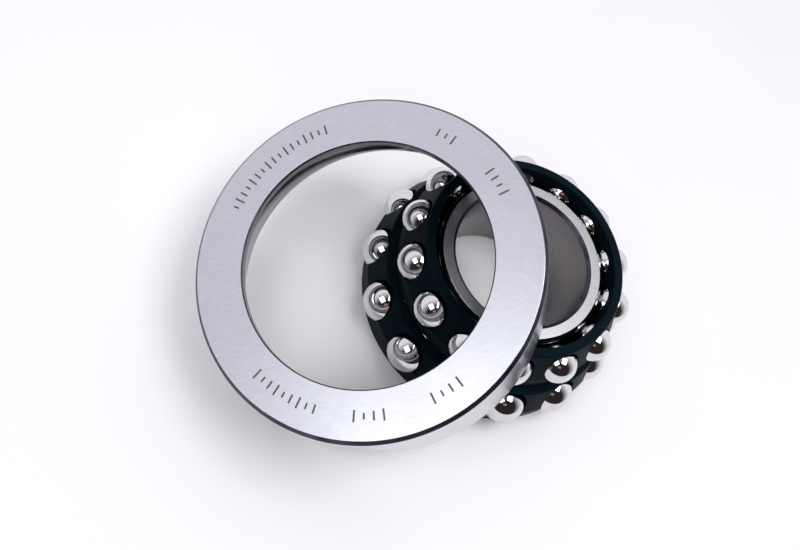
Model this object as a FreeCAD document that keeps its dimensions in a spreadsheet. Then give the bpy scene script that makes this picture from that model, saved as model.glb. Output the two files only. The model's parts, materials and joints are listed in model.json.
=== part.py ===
import FreeCAD, Part
import os
import re
import Sketcher

# Two-row angular contact ball bearing, taken apart: the inner ring stands on its large end with
# both rows of balls caged round it, and the separable outer ring leans on the small cage's rim.
# Row frame: millimetres, Z up the inner ring's axis, origin where that axis meets its large end.

DOCUMENT = FreeCAD.newDocument("bearing")
SHEET = DOCUMENT.addObject("Spreadsheet::Sheet", "Dims")

SIZES = {
    # both rows
    "contact_angle": 40,
    "ball_count": 14,
    "race_gap": 0.05,
    "pocket_gap": 0.2,
    # small row, at the end with the small diameters
    "small_ball_radius": 4.7625,
    "small_pitch_radius": 26.3,
    "small_row_height": 22.8,
    "small_row_start": 18.6,
    "small_race_radius": 4.953,
    # large row, at the end the inner ring stands on
    "large_ball_radius": 5.55625,
    "large_pitch_radius": 30.8,
    "large_row_height": 7.65,
    "large_row_start": 1.05,
    "large_race_radius": 5.7785,
    # inner ring
    "bore_radius": 17.4625,
    "inner_width": 26.8,
    "bore_chamfer_small_end": 0.8,
    "bore_chamfer_large_end": 0.6,
    "small_end_radius": 20.7,
    "small_end_chamfer": 0.9,
    "small_end_land_radius": 21.7,
    "race_entry": 0.55,
    "small_shoulder_radius": 24.5,
    "large_land_radius": 25.1,
    "flange_radius": 28.5,
    "flange_chamfer": 0.8,
    # outer ring, heights measured down from its wide face
    "outer_radius": 38.1,
    "outer_width": 23.02,
    "wide_face_height": 29.37,
    "wide_face_chamfer": 0.8,
    "open_face_chamfer": 0.6,
    "opening_radius": 27.19,
    "opening_chamfer": 0.25,
    "small_relief_radius": 31.05,
    "middle_radius": 31.2,
    "middle_end_depth": 12.67,
    "large_shoulder_radius": 32.7,
    "large_shoulder_depth": 14.07,
    "open_end_radius": 36.4,
    "open_end_chamfer": 0.3,
    # where the outer ring leans
    "lean_angle": 27.0,
    "lean_offset": 43.6,
    # small row's cage
    "small_mouth_radius": 4.45,
    "small_mouth_tilt": 45,
    "small_rim_top": 29.3,
    "small_rim_inner": 23.5,
    "small_rim_outer": 25.75,
    "small_cage_radius": 29.3,
    "small_cone_foot": 21.0,
    "small_cage_bottom": 16.4,
    "small_cage_lower_bore": 25.4,
    "small_cage_bore_foot": 19.6,
    "small_cage_bore_top": 23.2,
    # large row's cage
    "large_mouth_radius": 4.7,
    "large_mouth_tilt": 50,
    "large_rim_top": 15.1,
    "large_rim_inner": 28.6,
    "large_rim_outer": 31.4,
    "large_cage_radius": 34.3,
    "large_cone_foot": 7.5,
    "large_cage_bottom": 0.7,
    "large_cage_lower_bore": 29.2,
    "large_cage_bore_foot": 3.6,
    "large_cage_bore_top": 5.2,
    # edge breaks of both moulded cages
    "cage_edge": 0.3,
    "mouth_length": 9,
}


def fill_sheet():
    for row, (name, value) in enumerate(SIZES.items(), start=1):
        SHEET.set(f"A{row}", name)
        SHEET.set(f"B{row}", str(value))
        SHEET.setAlias(f"B{row}", name)
    DOCUMENT.recompute()


def bound(text):
    """A size expression, with every sheet alias written as a reference to the sheet."""
    return re.sub("[a-z_]+", lambda word: f"Dims.{word[0]}" if word[0] in SIZES else word[0], text)


def value_of(text):
    value = SHEET.evalExpression(bound(text))
    return float(getattr(value, "Value", value))


def new_body(label):
    body = DOCUMENT.addObject("PartDesign::Body", label)
    body.Label = label
    return body


def origin_feature(body, role):
    return next(item for item in body.Origin.OriginFeatures if item.Role == role)


def new_sketch(body, name):
    """A sketch in the plane through the axis: across is radius, up is height."""
    sketch = body.newObject("Sketcher::SketchObject", name)
    sketch.AttachmentSupport = [(origin_feature(body, "XZ_Plane"), "")]
    sketch.MapMode = "FlatFace"
    return sketch


def fix_point(sketch, geometry, point, radius, height):
    for kind, text in (("DistanceX", radius), ("DistanceY", height)):
        constraint = Sketcher.Constraint(kind, -1, 1, geometry, point, value_of(text))
        index = sketch.addConstraint(constraint)
        sketch.setExpression(f"Constraints[{index}]", bound(text))


def outline_sketch(body, name, corners):
    """Closed outline of a turned solid; each corner is a radius and a height."""
    sketch = new_sketch(body, name)
    points = [FreeCAD.Vector(value_of(radius), value_of(height), 0) for radius, height in corners]
    count = len(points)
    for i in range(count):
        sketch.addGeometry(Part.LineSegment(points[i], points[(i + 1) % count]), False)
    for i in range(count):
        sketch.addConstraint(Sketcher.Constraint("Coincident", i, 2, (i + 1) % count, 1))
    for i, (radius, height) in enumerate(corners):
        fix_point(sketch, i, 1, radius, height)
    return sketch


def race_sketch(body, name, race_radius, radius, height):
    """Circle whose turn about the axis cuts a raceway."""
    sketch = new_sketch(body, name)
    centre = FreeCAD.Vector(value_of(radius), value_of(height), 0)
    circle = Part.Circle(centre, FreeCAD.Vector(0, 0, 1), value_of(race_radius))
    sketch.addGeometry(circle, False)
    fix_point(sketch, 0, 3, radius, height)
    index = sketch.addConstraint(Sketcher.Constraint("Radius", 0, value_of(race_radius)))
    sketch.setExpression(f"Constraints[{index}]", bound(race_radius))
    return sketch


def turn(body, kind, name, sketch):
    feature = body.newObject(kind, name)
    feature.Profile = sketch
    feature.ReferenceAxis = (sketch, ["V_Axis"])
    feature.Angle = 360
    body.Tip = feature
    DOCUMENT.recompute()
    return feature


def cut_race(body, row, side, lift="0"):
    """Raceway of one row; side is +1 for the inner ring's race and -1 for the outer ring's."""
    offset = f"{side} * ({row}_race_radius - {row}_ball_radius - race_gap)"
    radius = f"{row}_pitch_radius + {offset} * cos(contact_angle)"
    height = f"{row}_row_height + {offset} * sin(contact_angle) - {lift}"
    before = body.Shape.Volume
    sketch = race_sketch(body, f"{body.Label}_{row}_circle", f"{row}_race_radius", radius, height)
    turn(body, "PartDesign::Groove", f"{body.Label}_{row}_race", sketch)
    assert body.Shape.Volume < before - 1, f"{row} race missed {body.Label}"


def build_inner_ring():
    body = new_body("inner_ring")
    corners = [
        ("bore_radius", "bore_chamfer_large_end"),
        ("bore_radius", "inner_width - bore_chamfer_small_end"),
        ("bore_radius + bore_chamfer_small_end", "inner_width"),
        ("small_end_radius", "inner_width"),
        ("small_end_land_radius", "inner_width - small_end_chamfer"),
        ("small_end_land_radius", "small_row_height + race_entry"),
        ("small_shoulder_radius", "small_row_height + race_entry"),
        ("small_shoulder_radius", "small_row_height - small_ball_radius"),
        ("large_land_radius", "large_row_height + race_entry"),
        ("flange_radius", "large_row_height + race_entry"),
        ("flange_radius", "flange_chamfer"),
        ("flange_radius - flange_chamfer", "0"),
        ("bore_radius + bore_chamfer_large_end", "0"),
    ]
    turn(body, "PartDesign::Revolution", "inner_ring_blank",
         outline_sketch(body, "inner_ring_outline", corners))
    cut_race(body, "small", 1)
    cut_race(body, "large", 1)
    return body


def build_outer_ring():
    body = new_body("outer_ring")
    small_depth = "small_row_height - wide_face_height"
    large_depth = "large_row_height - wide_face_height"
    corners = [
        ("opening_radius + opening_chamfer", "0"),
        ("outer_radius - wide_face_chamfer", "0"),
        ("outer_radius", "0 - wide_face_chamfer"),
        ("outer_radius", "open_face_chamfer - outer_width"),
        ("outer_radius - open_face_chamfer", "0 - outer_width"),
        ("open_end_radius + open_end_chamfer", "0 - outer_width"),
        ("open_end_radius", "open_end_chamfer - outer_width"),
        ("open_end_radius", large_depth),
        ("large_shoulder_radius", large_depth),
        ("large_shoulder_radius", "0 - large_shoulder_depth"),
        ("middle_radius", "0 - middle_end_depth"),
        ("small_relief_radius", small_depth),
        ("opening_radius", small_depth),
        ("opening_radius", "0 - opening_chamfer"),
    ]
    turn(body, "PartDesign::Revolution", "outer_ring_blank",
         outline_sketch(body, "outer_ring_outline", corners))
    cut_race(body, "small", -1, "wide_face_height")
    cut_race(body, "large", -1, "wide_face_height")
    lean(body)
    return body


def lean(body):
    """Tips the ring toward -X until its open end rests on the plane and on the small cage's rim."""
    rest_height = "outer_width * cos(lean_angle) + (outer_radius - open_face_chamfer) * sin(lean_angle)"
    tip = FreeCAD.Rotation(FreeCAD.Vector(0, 1, 0), -value_of("lean_angle"))
    body.Placement = FreeCAD.Placement(FreeCAD.Vector(), tip)
    body.setExpression("Placement.Base.x", bound("0 - lean_offset"))
    body.setExpression("Placement.Base.z", bound(rest_height))
    DOCUMENT.recompute()


def cutter_at_ball(body, kind, name, row, tilt):
    """A cutter centred on the ball that lies along X, its own axis tilted up from X."""
    cutter = body.newObject(kind, name)
    cutter.AttachmentSupport = [(origin_feature(body, "YZ_Plane"), "")]
    cutter.MapMode = "FlatFace"
    turned = FreeCAD.Rotation(FreeCAD.Vector(1, 0, 0), -value_of(tilt))
    cutter.AttachmentOffset = FreeCAD.Placement(FreeCAD.Vector(), turned)
    cutter.setExpression("AttachmentOffset.Rotation.Angle", bound(f"0 - {tilt}"))
    cutter.setExpression("AttachmentOffset.Base.y", bound(f"{row}_row_height"))
    cutter.setExpression("AttachmentOffset.Base.z", bound(f"{row}_pitch_radius"))
    return cutter


def cut_pockets(body, row):
    """One round pocket with a narrower mouth facing out and up, repeated for every ball."""
    before = body.Shape.Volume
    tilt = f"{row}_mouth_tilt"
    pocket = cutter_at_ball(body, "PartDesign::SubtractiveSphere", f"{body.Label}_pocket", row, tilt)
    pocket.setExpression("Radius", bound(f"{row}_ball_radius + pocket_gap"))
    mouth = cutter_at_ball(body, "PartDesign::SubtractiveCylinder", f"{body.Label}_mouth", row, tilt)
    mouth.setExpression("Radius", bound(f"{row}_mouth_radius"))
    mouth.setExpression("Height", bound("mouth_length"))
    body.Tip = mouth
    DOCUMENT.recompute()
    one_pocket = before - body.Shape.Volume
    ring = body.newObject("PartDesign::PolarPattern", f"{body.Label}_pockets")
    ring.Originals = [pocket, mouth]
    ring.Axis = (origin_feature(body, "Z_Axis"), [""])
    ring.Angle = 360
    ring.setExpression("Occurrences", bound("ball_count"))
    body.Tip = ring
    DOCUMENT.recompute()
    all_pockets = before - body.Shape.Volume
    assert all_pockets > 0.99 * one_pocket * SIZES["ball_count"], f"pockets missing in {body.Label}"


def build_cage(row):
    body = new_body(f"{row}_row_cage")
    corners = [
        (f"{row}_cage_lower_bore", f"{row}_cage_bottom"),
        (f"{row}_cage_lower_bore", f"{row}_cage_bore_foot"),
        (f"{row}_rim_inner", f"{row}_cage_bore_top"),
        (f"{row}_rim_inner", f"{row}_rim_top"),
        (f"{row}_rim_outer - cage_edge", f"{row}_rim_top"),
        (f"{row}_rim_outer", f"{row}_rim_top - cage_edge"),
        (f"{row}_cage_radius", f"{row}_cone_foot"),
        (f"{row}_cage_radius", f"{row}_cage_bottom + cage_edge"),
        (f"{row}_cage_radius - cage_edge", f"{row}_cage_bottom"),
    ]
    turn(body, "PartDesign::Revolution", f"{row}_cage_blank",
         outline_sketch(body, f"{row}_cage_outline", corners))
    cut_pockets(body, row)
    body.Placement = FreeCAD.Placement(FreeCAD.Vector(), FreeCAD.Rotation(FreeCAD.Vector(0, 0, 1), 1))
    body.setExpression("Placement.Rotation.Angle", bound(f"{row}_row_start"))
    DOCUMENT.recompute()
    return body


def ball_centre(row, index):
    azimuth = f"({row}_row_start + {index} * 360 / ball_count)"
    return (
        f"{row}_pitch_radius * cos{azimuth}",
        f"{row}_pitch_radius * sin{azimuth}",
        f"{row}_row_height",
    )


def build_ball(row, index):
    label = f"{row}_row_ball_{index + 1:02d}"
    ball = DOCUMENT.addObject("Part::Sphere", label)
    ball.Label = label
    ball.setExpression("Radius", bound(f"{row}_ball_radius"))
    for axis, text in zip("xyz", ball_centre(row, index)):
        ball.setExpression(f"Placement.Base.{axis}", bound(text))
    DOCUMENT.recompute()
    return ball


def check_states():
    for item in DOCUMENT.Objects:
        faults = {"Invalid", "Error"} & set(item.State)
        assert not faults, f"{item.Label} is {faults}"


def write_parts(nodes):
    os.makedirs("parts", exist_ok=True)
    for node in nodes:
        shape = node.Shape
        assert not shape.isNull() and shape.isValid(), f"{node.Label} has a bad shape"
        assert len(shape.Solids) == 1, f"{node.Label} is not one solid"
        box = shape.BoundBox
        print(f"{node.Label}: {shape.Volume:.1f} mm3, z {box.ZMin:.3f} to {box.ZMax:.3f}")
        shape.exportStep(f"parts/{node.Label}.step")


fill_sheet()
NODES = [build_inner_ring(), build_outer_ring(), build_cage("small"), build_cage("large")]
for ROW in ("small", "large"):
    for INDEX in range(SIZES["ball_count"]):
        NODES.append(build_ball(ROW, INDEX))
DOCUMENT.recompute()
check_states()
write_parts(NODES)
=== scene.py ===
import json
import math

import bmesh
import bpy
from mathutils import Matrix, Vector


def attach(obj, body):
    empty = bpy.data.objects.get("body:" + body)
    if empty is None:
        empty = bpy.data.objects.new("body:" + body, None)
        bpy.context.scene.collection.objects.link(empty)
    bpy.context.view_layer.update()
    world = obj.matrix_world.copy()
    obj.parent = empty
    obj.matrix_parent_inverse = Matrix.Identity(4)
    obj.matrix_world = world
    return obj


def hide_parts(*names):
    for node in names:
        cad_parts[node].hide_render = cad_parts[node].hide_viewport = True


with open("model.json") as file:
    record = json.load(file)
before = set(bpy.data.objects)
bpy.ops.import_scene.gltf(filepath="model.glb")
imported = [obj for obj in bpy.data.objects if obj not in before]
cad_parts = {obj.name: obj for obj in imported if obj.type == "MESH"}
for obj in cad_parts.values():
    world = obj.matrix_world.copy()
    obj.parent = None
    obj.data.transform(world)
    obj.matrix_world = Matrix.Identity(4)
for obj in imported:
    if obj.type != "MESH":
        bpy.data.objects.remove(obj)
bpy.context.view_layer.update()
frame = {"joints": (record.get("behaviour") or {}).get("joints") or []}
JOINTS = {joint["name"]: joint for joint in frame["joints"]}

# Sizes are in millimetres, as in the drawing; MM turns them into the scene's metres.
MM = 0.001

# Each row's ball radius, pitch radius and height, raceway radius, and its pocket mouths' radius and
# tilt above level in degrees.
ROWS = {
    "small": {"ball": 4.7625, "pitch": 26.3, "height": 22.8, "race": 4.953, "mouth": 4.45, "tilt": 45},
    "large": {"ball": 5.55625, "pitch": 30.8, "height": 7.65, "race": 5.7785, "mouth": 4.7, "tilt": 50},
}
CONTACT = math.radians(40)
RACE_GAP = 0.05
POCKET_GAP = 0.2
MOUTH_LENGTH = 9
BALLS_PER_ROW = 14

OUTER_RADIUS = 38.1
OUTER_WIDTH = 23.02
OUTER_EDGE_BREAK = 0.8
OPEN_END_BREAK = 0.6
OPENING_RADIUS = 27.19
OPENING_BREAK = 0.25
WIDE_FACE_HEIGHT = 29.37

BORE_RADIUS = 17.4625
INNER_WIDTH = 26.8
LARGE_END_RADIUS = 28.5
LAND_RADIUS = 25.1
LAND_FOOT_HEIGHT = 8.2

RING_SEGMENTS = 288
CAGE_SEGMENTS = BALLS_PER_ROW * 20
ARC_STEPS = 36
ROUNDING_STEPS = 5
HOLD_LENGTH = 0.03
SHARP_ANGLE = math.radians(32)

# A ring's face counts as flat when its normal is this close to the axis and it lies this near an end.
FLAT_NORMAL = 0.98
FLAT_DEPTH = 0.02


# ---------------------------------------------------------------- turned meshes

def race_centre(row, side):
    """Radius and height of a raceway's circle; side is +1 on the inner ring and -1 on the outer ring."""
    sizes = ROWS[row]
    offset = side * (sizes["race"] - sizes["ball"] - RACE_GAP)
    return sizes["pitch"] + offset * math.cos(CONTACT), sizes["height"] + offset * math.sin(CONTACT)


def angle_at(row, side, radius):
    """Angle, from straight out, of the upper point where a raceway's circle meets a radius."""
    return math.acos((radius - race_centre(row, side)[0]) / ROWS[row]["race"])


def arc(row, side, start, end, drop=0.0):
    """Points along a raceway's circle from one angle to another, lowered by a drop."""
    across, up = race_centre(row, side)
    reach = ROWS[row]["race"]
    points = []
    for step in range(ARC_STEPS + 1):
        angle = start + (end - start) * step / ARC_STEPS
        points.append((across + reach * math.cos(angle), up - drop + reach * math.sin(angle), 0))
    return points


def rounded(corners):
    """A closed outline from corners of radius, height and rounding, held flat just beyond each rounding.

    A corner without rounding is kept as a point. A rounding takes at most 0.45 of a side, and the
    held stretch at most 0.3 of what the rounding takes.
    """
    outline = []
    count = len(corners)
    for i, (x, y, radius) in enumerate(corners):
        corner = Vector((x, y))
        if radius <= 0:
            outline.append(corner)
            continue
        back = Vector(corners[i - 1][:2]) - corner
        ahead = Vector(corners[(i + 1) % count][:2]) - corner
        turn = back.angle(ahead)
        reach = min(radius / math.tan(turn / 2), 0.45 * back.length, 0.45 * ahead.length)
        radius = reach * math.tan(turn / 2)
        back.normalize()
        ahead.normalize()
        middle = corner + (back + ahead).normalized() * math.hypot(radius, reach)
        first = corner + back * reach
        last = corner + ahead * reach
        outline.append(first + back * min(HOLD_LENGTH, 0.3 * reach))
        for step in range(ROUNDING_STEPS + 1):
            blend = step / ROUNDING_STEPS
            ray = (first - middle).normalized().slerp((last - middle).normalized(), blend)
            outline.append(middle + ray * radius)
        outline.append(last + ahead * min(HOLD_LENGTH, 0.3 * reach))
    return outline


def lathe(name, outline, segments):
    """Turns a closed outline of radius and height, in millimetres, into a smooth ring."""
    vertices = []
    faces = []
    count = len(outline)
    for k in range(segments):
        angle = math.tau * k / segments
        for point in outline:
            vertices.append((point.x * math.cos(angle) * MM, point.x * math.sin(angle) * MM, point.y * MM))
    for k in range(segments):
        near = k * count
        far = (k + 1) % segments * count
        for i in range(count):
            j = (i + 1) % count
            faces.append((near + i, far + i, far + j, near + j))
    mesh = bpy.data.meshes.new(name)
    mesh.from_pydata(vertices, [], faces)
    mesh.validate()
    piece = bpy.data.objects.new(name, mesh)
    bpy.context.scene.collection.objects.link(piece)
    outward(mesh)
    mesh.shade_smooth()
    return piece


def outward(mesh):
    """Turns every face's normal outward."""
    work = bmesh.new()
    work.from_mesh(mesh)
    bmesh.ops.recalc_face_normals(work, faces=work.faces)
    work.to_mesh(mesh)
    work.free()


# ---------------------------------------------------------------- materials

def new_material(name, **values):
    """A node material with the given values on its shader's own sockets, underscores for spaces."""
    material = bpy.data.materials.new(name)
    material.use_nodes = True
    shader = material.node_tree.nodes["Principled BSDF"]
    for socket, value in values.items():
        shader.inputs[socket.replace("_", " ")].default_value = value
    return material, material.node_tree, shader


def add(tree, kind, **values):
    """A new node with the given properties."""
    node = tree.nodes.new(kind)
    for name, value in values.items():
        setattr(node, name, value)
    return node


def stretched_noise(tree, stretch, detail, turn=0.0):
    """Noise in the piece's own coordinates, in features per millimetre along each axis."""
    place = add(tree, "ShaderNodeTexCoord")
    mapping = add(tree, "ShaderNodeMapping")
    mapping.inputs["Scale"].default_value = [value / MM for value in stretch]
    mapping.inputs["Rotation"].default_value = (0, 0, turn)
    noise = add(tree, "ShaderNodeTexNoise")
    noise.inputs["Scale"].default_value = 1.0
    noise.inputs["Detail"].default_value = detail
    tree.links.new(place.outputs["Object"], mapping.inputs["Vector"])
    tree.links.new(mapping.outputs["Vector"], noise.inputs["Vector"])
    return noise.outputs["Fac"]


def ramp(tree, source, low, high, low_at=0.3, high_at=0.7):
    """Colours a source from low to high between two of its values."""
    node = add(tree, "ShaderNodeValToRGB")
    node.color_ramp.elements[0].position = low_at
    node.color_ramp.elements[1].position = high_at
    node.color_ramp.elements[0].color = (*low, 1)
    node.color_ramp.elements[1].color = (*high, 1)
    tree.links.new(source, node.inputs["Fac"])
    return node.outputs["Color"]


def spread(tree, source, low, high):
    """Spreads a source that runs from 0 to 1 over another range."""
    node = add(tree, "ShaderNodeMapRange")
    node.inputs["To Min"].default_value = low
    node.inputs["To Max"].default_value = high
    tree.links.new(source, node.inputs["Value"])
    return node.outputs["Result"]


def bump(tree, shader, sources, strength, depth):
    """Adds the sources' heights, each with its weight, as one bump, with its depth in millimetres."""
    total = None
    for source, weight in sources:
        scaled = add(tree, "ShaderNodeMath", operation="MULTIPLY")
        scaled.inputs[1].default_value = weight
        tree.links.new(source, scaled.inputs[0])
        if total is None:
            total = scaled.outputs[0]
            continue
        both = add(tree, "ShaderNodeMath", operation="ADD")
        tree.links.new(total, both.inputs[0])
        tree.links.new(scaled.outputs[0], both.inputs[1])
        total = both.outputs[0]
    node = add(tree, "ShaderNodeBump")
    node.inputs["Strength"].default_value = strength
    node.inputs["Distance"].default_value = depth * MM
    tree.links.new(total, node.inputs["Height"])
    tree.links.new(node.outputs["Normal"], shader.inputs["Normal"])


def ground_face_steel(name, low, high):
    """Surface-ground end face: fine streaks that cross at a small angle."""
    material, tree, shader = new_material(name, Metallic=1.0)
    first = stretched_noise(tree, (0.35, 9, 9), 4.0, turn=math.radians(24))
    second = stretched_noise(tree, (0.3, 6, 6), 3.0, turn=math.radians(38))
    cloud = stretched_noise(tree, (0.06, 0.06, 0.06), 2.0)
    tree.links.new(ramp(tree, first, low, high), shader.inputs["Base Color"])
    tree.links.new(spread(tree, cloud, 0.30, 0.42), shader.inputs["Roughness"])
    bump(tree, shader, [(first, 1.0), (second, 0.7)], 0.35, 0.006)
    return material


def turned_steel(name, low, high, rough, streak=7.0):
    """Cylindrically ground or honed surface: streaks that run round the axis."""
    material, tree, shader = new_material(name, Metallic=1.0)
    streaks = stretched_noise(tree, (0.12, 0.12, streak), 4.0)
    cloud = stretched_noise(tree, (0.08, 0.08, 0.08), 2.0)
    tree.links.new(ramp(tree, streaks, low, high), shader.inputs["Base Color"])
    tree.links.new(spread(tree, cloud, *rough), shader.inputs["Roughness"])
    bump(tree, shader, [(streaks, 1.0)], 0.2, 0.004)
    return material


def edge_shade_steel():
    """Edge breaks painted dark blue-black and a little uneven: painted shade and painted dark reflections
    along the rings' edges.
    """
    material, tree, shader = new_material("edge_painted_shade", Metallic=0.9)
    scale = stretched_noise(tree, (1.2, 1.2, 1.2), 4.0)
    cloud = stretched_noise(tree, (0.2, 0.2, 0.2), 2.0)
    colour = ramp(tree, cloud, (0.024, 0.027, 0.043), (0.07, 0.074, 0.10))
    tree.links.new(colour, shader.inputs["Base Color"])
    tree.links.new(spread(tree, scale, 0.22, 0.45), shader.inputs["Roughness"])
    bump(tree, shader, [(scale, 1.0)], 0.3, 0.01)
    return material


def ball_steel():
    """Lapped, mirror-bright steel with a faint smear of oil."""
    material, tree, shader = new_material("ball_steel", Metallic=1.0)
    smear = stretched_noise(tree, (0.25, 0.25, 0.25), 3.0)
    colour = ramp(tree, smear, (0.68, 0.675, 0.69), (0.76, 0.76, 0.775))
    tree.links.new(colour, shader.inputs["Base Color"])
    tree.links.new(spread(tree, smear, 0.02, 0.07), shader.inputs["Roughness"])
    return material


def cage_nylon():
    """Glass-filled nylon: near-black blue-green with fine mottling and a satin skin."""
    material, tree, shader = new_material("cage_nylon", Metallic=0.0, Specular_IOR_Level=0.045)
    fibre = stretched_noise(tree, (3.0, 3.0, 3.0), 5.0)
    cloud = stretched_noise(tree, (0.25, 0.25, 0.25), 3.0)
    shader.inputs["Specular Tint"].default_value = (0.35, 0.78, 1.0, 1)
    colour = ramp(tree, fibre, (0.0008, 0.0034, 0.0056), (0.0026, 0.0082, 0.0118))
    tree.links.new(colour, shader.inputs["Base Color"])
    tree.links.new(spread(tree, cloud, 0.38, 0.52), shader.inputs["Roughness"])
    bump(tree, shader, [(fibre, 1.0), (cloud, 0.6)], 0.25, 0.02)
    return material


def mark_ink():
    """The dull dark grey of etched steel."""
    material, tree, shader = new_material("etched_mark", Metallic=0.6, Roughness=0.6)
    grain = stretched_noise(tree, (6, 6, 6), 2.0)
    colour = ramp(tree, grain, (0.05, 0.05, 0.055), (0.14, 0.135, 0.14))
    tree.links.new(colour, shader.inputs["Base Color"])
    return material


def floor_paint():
    """Pale matt paper, very slightly uneven."""
    material, tree, shader = new_material("floor_paper", Roughness=0.55)
    cloud = stretched_noise(tree, (0.01, 0.01, 0.01), 2.0)
    colour = ramp(tree, cloud, (0.80, 0.785, 0.815), (0.83, 0.815, 0.845))
    tree.links.new(colour, shader.inputs["Base Color"])
    return material


WIDE_FACE = ground_face_steel("ground_wide_face", (0.51, 0.515, 0.575), (0.65, 0.655, 0.71))
# The inner ring's face is the wide face's steel with a darker base: painted shade where it sits under the
# leaning ring.
INNER_FACE_SHADE = ground_face_steel("ground_inner_face_painted_shade", (0.41, 0.405, 0.425), (0.52, 0.515, 0.54))
OUTSIDE = turned_steel("ground_outside", (0.50, 0.50, 0.54), (0.66, 0.66, 0.69), (0.16, 0.24))
RACEWAY = turned_steel("honed_raceway", (0.40, 0.40, 0.43), (0.50, 0.50, 0.53), (0.08, 0.14))
# The bore's base is far darker than the outside's: painted shade inside the rings' bores and openings.
BORE_SHADE = turned_steel("ground_bore_painted_shade", (0.21, 0.20, 0.205), (0.30, 0.285, 0.29), (0.20, 0.30), 4.0)
EDGE_SHADE = edge_shade_steel()
BALL = ball_steel()
CAGE = cage_nylon()
MARK = mark_ink()


def paint(piece, *materials):
    """Gives a piece these materials, in order, and no others."""
    piece.data.materials.clear()
    for material in materials:
        piece.data.materials.append(material)


def paint_ring(piece, face_finish, plain, outside_radius, bore_radius, shade_band_depth):
    """Finishes a ring whose flat ends lie at the plain heights.

    The flat ends get the face finish. The edge breaks get the dark one, which is painted shade and painted
    dark reflection. The outside beyond its radius, the bore within its radius (darker, as painted shade) and
    the raceways between them get their own.
    """
    finishes = [face_finish, OUTSIDE, RACEWAY, BORE_SHADE, EDGE_SHADE]
    paint(piece, *finishes)
    for face in piece.data.polygons:
        radius = math.hypot(face.center.x, face.center.y) / MM
        depth = min(abs(face.center.z / MM - height) for height in plain)
        if abs(face.normal.z) > FLAT_NORMAL and depth < FLAT_DEPTH:
            finish = face_finish
        # Faces near an end, on the outside or in the bore, get the dark painted edge shade.
        elif depth < shade_band_depth and (radius > outside_radius or radius < bore_radius):
            finish = EDGE_SHADE
        elif radius > outside_radius:
            finish = OUTSIDE
        # The bore's darker colour is painted shade.
        elif radius < bore_radius:
            finish = BORE_SHADE
        else:
            finish = RACEWAY
        face.material_index = finishes.index(finish)


# ---------------------------------------------------------------- rings

def build_outer_ring():
    """The leaning ring, turned with its wide face at height 0 and then set on its joint's axis."""
    open_end = -OUTER_WIDTH
    edge_radius = OUTER_RADIUS - OUTER_EDGE_BREAK
    lip_radius, lip_break = 36.4, 0.3
    shoulder_radius, shoulder_height = 32.7, -14.07
    middle_radius, middle_height = 31.2, -12.67
    relief_radius = 31.05
    opening_edge = OPENING_RADIUS + OPENING_BREAK
    corners = [
        (opening_edge, 0, 0.08), (edge_radius, 0, 0.2), (OUTER_RADIUS, -OUTER_EDGE_BREAK, 0.5),
        (OUTER_RADIUS, open_end + OPEN_END_BREAK, 0.25), (OUTER_RADIUS - OPEN_END_BREAK, open_end, 0.2),
        (lip_radius + lip_break, open_end, 0.1), (lip_radius, open_end + lip_break, 0.1),
        *arc("large", -1, -angle_at("large", -1, lip_radius), angle_at("large", -1, shoulder_radius),
             WIDE_FACE_HEIGHT),
        (shoulder_radius, shoulder_height, 0.25), (middle_radius, middle_height, 0.3),
        *arc("small", -1, -angle_at("small", -1, relief_radius), angle_at("small", -1, OPENING_RADIUS),
             WIDE_FACE_HEIGHT),
        (OPENING_RADIUS, -OPENING_BREAK, 0.08),
    ]
    ring = lathe("outer_ring_body", rounded(corners), RING_SEGMENTS)
    paint_ring(ring, WIDE_FACE, (0, open_end), edge_radius + FLAT_DEPTH, opening_edge - 0.01,
               OUTER_EDGE_BREAK + FLAT_DEPTH)
    marks = build_marks()
    joint = JOINTS["outer_ring_spin"]
    axis = Vector(joint["axis"]).normalized()
    side = Vector((0, 1, 0))
    across = side.cross(axis).normalized()
    centre = Vector(joint["pos_m"]) + axis * OUTER_WIDTH / 2 * MM
    place = Matrix((across, side, axis)).transposed().to_4x4()
    place.translation = centre
    for piece in (ring, marks):
        piece.matrix_world = place
        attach(piece, "outer_ring")
    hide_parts("outer_ring")


def build_inner_ring():
    """The upright ring, from its bore over the small end to the large end that it stands on."""
    edge_break, foot_break = 0.8, 0.6
    small_end_radius = 20.7
    small_land_radius, small_land_height = 21.7, 25.9
    small_shoulder_radius, small_shoulder_height = 24.5, 18.0375
    outside_from, bore_to = LARGE_END_RADIUS - 0.2, BORE_RADIUS + edge_break + 0.0375
    foot_rise = (LAND_FOOT_HEIGHT - race_centre("large", 1)[1]) / ROWS["large"]["race"]
    corners = [
        (BORE_RADIUS, foot_break, 0.15), (BORE_RADIUS, INNER_WIDTH - edge_break, 0.15),
        (BORE_RADIUS + edge_break, INNER_WIDTH, 0.1), (small_end_radius, INNER_WIDTH, 0.15),
        (small_land_radius, small_land_height, 0.2),
        *arc("small", 1, angle_at("small", 1, small_land_radius),
             math.tau - angle_at("small", 1, small_shoulder_radius)),
        (small_shoulder_radius, small_shoulder_height, 0), (LAND_RADIUS, LAND_FOOT_HEIGHT, 0),
        *arc("large", 1, math.pi - math.asin(foot_rise),
             math.tau - angle_at("large", 1, LARGE_END_RADIUS)),
        (LARGE_END_RADIUS, edge_break, 0.2), (LARGE_END_RADIUS - edge_break, 0, 0.2),
        (BORE_RADIUS + foot_break, 0, 0.15),
    ]
    ring = lathe("inner_ring_body", rounded(corners), RING_SEGMENTS)
    paint_ring(ring, INNER_FACE_SHADE, (0, INNER_WIDTH), outside_from, bore_to, edge_break)
    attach(ring, "inner_ring")
    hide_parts("inner_ring")


# The middle of each group of marks, its number of strokes and their spacing, with both angles in degrees.
MARK_GROUPS = ((118, 17, 3.0), (44, 3, 3.4), (16, 4, 3.4), (-72, 4, 3.6), (-101, 4, 3.6), (-134, 9, 3.2))
MARK_RADIUS = 32.4
MARK_LENGTHS = (2.4, 1.3, 1.9)
MARK_HALF_WIDTH = 0.2
MARK_PROUD = 0.008


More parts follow.
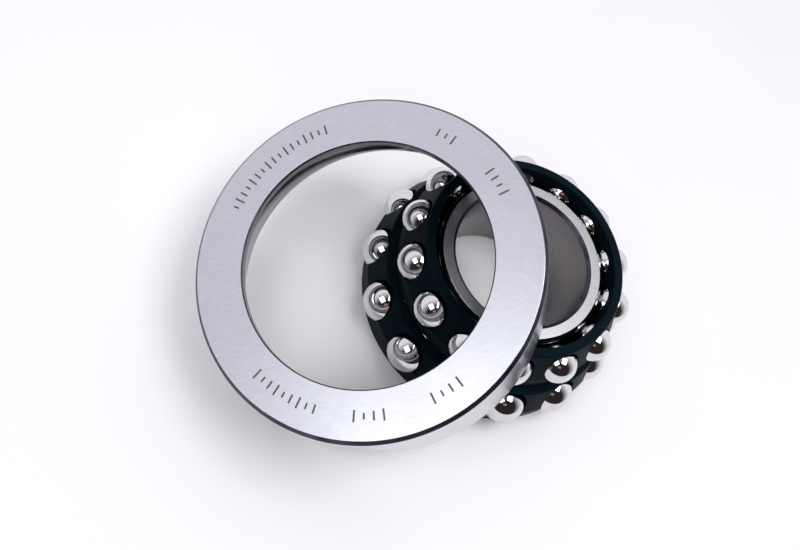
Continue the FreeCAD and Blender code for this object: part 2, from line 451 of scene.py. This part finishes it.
def build_marks():
    """Short plain strokes on the wide face, each a thin block that stands just proud of it."""
    vertices = []
    faces = []
    for middle, count, pitch in MARK_GROUPS:
        for k in range(count):
            angle = math.radians(middle + (k - (count - 1) / 2) * pitch)
            length = MARK_LENGTHS[k % len(MARK_LENGTHS)]
            out = Vector((math.cos(angle), math.sin(angle), 0))
            along = Vector((-math.sin(angle), math.cos(angle), 0))
            start = len(vertices)
            for reach, side in ((-1, -1), (1, -1), (1, 1), (-1, 1)):
                spot = out * (MARK_RADIUS + reach * length / 2) + along * side * MARK_HALF_WIDTH
                for z in (-MARK_PROUD, MARK_PROUD):
                    vertices.append(tuple((spot + Vector((0, 0, z))) * MM))
            low = [start + 2 * n for n in range(4)]
            high = [start + 2 * n + 1 for n in range(4)]
            faces.append(high)
            faces.append(low[::-1])
            for n in range(4):
                m = (n + 1) % 4
                faces.append((low[n], low[m], high[m], high[n]))
    mesh = bpy.data.meshes.new("outer_ring_marks")
    mesh.from_pydata(vertices, [], faces)
    piece = bpy.data.objects.new("outer_ring_marks", mesh)
    bpy.context.scene.collection.objects.link(piece)
    paint(piece, MARK)
    return piece


# ---------------------------------------------------------------- balls and cages

def ball_name(row, index):
    return f"{row}_row_ball_{index + 1:02d}"


def ball_centre(row, index):
    return Vector(JOINTS[f"{ball_name(row, index)}_roll"]["pos_m"])


def ball_angle(row, index):
    """Angle of a ball's place round the bearing's axis."""
    centre = ball_centre(row, index)
    return math.atan2(centre.y, centre.x)


def build_balls(row):
    """One mesh shared by all the balls of a row, each at its own roll joint."""
    bpy.ops.mesh.primitive_ico_sphere_add(subdivisions=6, radius=ROWS[row]["ball"] * MM)
    pattern = bpy.context.object
    mesh = pattern.data
    mesh.name = f"{row}_ball"
    mesh.shade_smooth()
    mesh.materials.append(BALL)
    bpy.data.objects.remove(pattern)
    for index in range(BALLS_PER_ROW):
        name = ball_name(row, index)
        ball = bpy.data.objects.new(f"{name}_lapped", mesh)
        bpy.context.scene.collection.objects.link(ball)
        ball.location = ball_centre(row, index)
        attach(ball, name)
        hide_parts(name)


# Each cage's outline: radius, height and rounding of its corners, from the foot of its inside.
CAGE_CORNERS = {
    "small": [
        (25.4, 16.4, 0.25), (25.4, 19.6, 0.4), (23.5, 23.2, 0.6), (23.5, 29.3, 0.2), (25.45, 29.3, 0.3),
        (25.75, 29.0, 0.3), (29.3, 21.0, 0.6), (29.3, 16.4, 0.35),
    ],
    "large": [
        (29.2, 0.7, 0.25), (29.2, 3.6, 0.3), (28.6, 5.2, 0.3), (28.6, 15.1, 0.2), (31.1, 15.1, 0.3),
        (31.4, 14.8, 0.3), (34.3, 7.5, 0.6), (34.3, 0.7, 0.35),
    ],
}


def joined(pieces, name):
    """Joins pieces into one object."""
    bpy.ops.object.select_all(action="DESELECT")
    for piece in pieces:
        piece.select_set(True)
    bpy.context.view_layer.objects.active = pieces[0]
    bpy.ops.object.join()
    bpy.context.object.name = name
    return bpy.context.object


def pocket_cutters(row):
    """A sphere a little larger than the ball at each ball's centre."""
    cutters = []
    radius = (ROWS[row]["ball"] + POCKET_GAP) * MM
    for index in range(BALLS_PER_ROW):
        bpy.ops.mesh.primitive_uv_sphere_add(segments=64, ring_count=32, radius=radius)
        cutter = bpy.context.object
        cutter.location = ball_centre(row, index)
        cutter.rotation_euler = (0, math.pi / 2, ball_angle(row, index))
        cutters.append(cutter)
    return joined(cutters, f"{row}_pocket_cutters")


def mouth_cutters(row):
    """The narrower mouths that face out and up from each ball's centre."""
    cutters = []
    tilt = math.radians(ROWS[row]["tilt"])
    for index in range(BALLS_PER_ROW):
        angle = ball_angle(row, index)
        reach = Vector((math.cos(tilt) * math.cos(angle), math.cos(tilt) * math.sin(angle), math.sin(tilt)))
        bpy.ops.mesh.primitive_cylinder_add(
            vertices=96, radius=ROWS[row]["mouth"] * MM, depth=MOUTH_LENGTH * MM)
        cutter = bpy.context.object
        cutter.location = ball_centre(row, index) + reach * MOUTH_LENGTH / 2 * MM
        cutter.rotation_euler = reach.to_track_quat("Z", "Y").to_euler()
        cutters.append(cutter)
    return joined(cutters, f"{row}_mouth_cutters")


def build_cage(row):
    """The turned shell of a cage, cut by its pockets and their mouths."""
    cage = lathe(f"{row}_row_cage_moulding", rounded(CAGE_CORNERS[row]), CAGE_SEGMENTS)
    cutters = [pocket_cutters(row), mouth_cutters(row)]
    for cutter in cutters:
        cut = cage.modifiers.new(cutter.name, "BOOLEAN")
        cut.operation = "DIFFERENCE"
        cut.solver = "EXACT"
        cut.object = cutter
    bpy.context.view_layer.update()
    shaped = bpy.data.meshes.new_from_object(cage.evaluated_get(bpy.context.evaluated_depsgraph_get()))
    cage.modifiers.clear()
    cage.data = shaped
    for cutter in cutters:
        bpy.data.objects.remove(cutter)
    shaped.shade_smooth()
    shaped.set_sharp_from_angle(angle=SHARP_ANGLE)
    paint(cage, CAGE)
    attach(cage, f"{row}_row_cage")
    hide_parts(f"{row}_row_cage")


# ---------------------------------------------------------------- room, lights, camera

def build_floor():
    bpy.ops.mesh.primitive_plane_add(size=6)
    floor = bpy.context.object
    floor.name = "floor"
    floor.data.materials.append(floor_paint())


def soft_light(name, place, target, size, power, colour=(1, 1, 1)):
    """A rectangular area light that faces a target; places are in metres and power in watts."""
    light = bpy.data.lights.new(name, "AREA")
    light.shape = "RECTANGLE"
    light.size, light.size_y = size
    light.energy = power
    light.color = colour
    lamp = bpy.data.objects.new(name, light)
    bpy.context.scene.collection.objects.link(lamp)
    lamp.location = place
    lamp.rotation_euler = (Vector(target) - Vector(place)).to_track_quat("-Z", "Y").to_euler()
    return lamp


def build_lights():
    """A key above right, a panel above left, a warm card in front and a fill that no metal mirrors."""
    soft_light("key", (0.20, -0.12, 0.80), (-0.02, 0, 0), (0.46, 0.38), 3.35)
    soft_light("overhead_panel", (-0.52, -0.10, 0.84), (-0.03, 0, 0.03), (0.50, 0.42), 2.15, (0.98, 0.98, 1))
    soft_light("warm_card", (-0.20, -0.38, 0.50), (0, 0, 0.02), (0.20, 0.12), 0.035, (1, 0.45, 0.32))
    fill = soft_light("fill", (-0.40, -0.50, 0.70), (-0.03, 0, 0.01), (0.90, 0.90), 2.6)
    fill.visible_glossy = False


def build_world():
    """A pale room whose front side is dark and a little warm."""
    front = Vector((-0.2, -0.8, 0.56)).normalized()
    world = bpy.data.worlds.new("room")
    world.use_nodes = True
    bpy.context.scene.world = world
    tree = world.node_tree
    sky = tree.nodes["Background"]
    place = add(tree, "ShaderNodeTexCoord")
    toward = add(tree, "ShaderNodeVectorMath", operation="DOT_PRODUCT")
    toward.inputs[1].default_value = front
    tree.links.new(place.outputs["Generated"], toward.inputs[0])
    shade = ramp(tree, toward.outputs["Value"], (0.96, 0.96, 1.0), (0.03, 0.024, 0.023), 0.1, 0.70)
    tree.links.new(shade, sky.inputs["Color"])
    sky.inputs["Strength"].default_value = 1.0


def build_view():
    """Shows the colours as they are, without a film look."""
    bpy.context.scene.view_settings.view_transform = "Standard"


def build_camera():
    """Looks down on the bearing from the front left, close by, so that near parts look larger."""
    place = Vector((-91.57, -52.496, 179.228)) * MM
    right = Vector((0.928709, -0.226881, 0.293299)).normalized()
    forward = Vector((0.356295, 0.326859, -0.875339)).normalized()
    up = right.cross(forward).normalized()
    camera_data = bpy.data.cameras.new("camera")
    camera_data.sensor_width = 36
    camera_data.lens = 33.8175
    camera_data.shift_x = -0.0093625
    camera_data.shift_y = -0.0275625
    camera_data.clip_start = 0.01
    camera = bpy.data.objects.new("camera", camera_data)
    bpy.context.scene.collection.objects.link(camera)
    pose = Matrix((right, up, -forward)).transposed().to_4x4()
    pose.translation = place
    camera.matrix_world = pose
    bpy.context.scene.camera = camera


build_outer_ring()
build_inner_ring()
for row_name in ROWS:
    build_balls(row_name)
    build_cage(row_name)
build_floor()
build_world()
build_lights()
build_view()
build_camera()

bpy.context.view_layer.update()
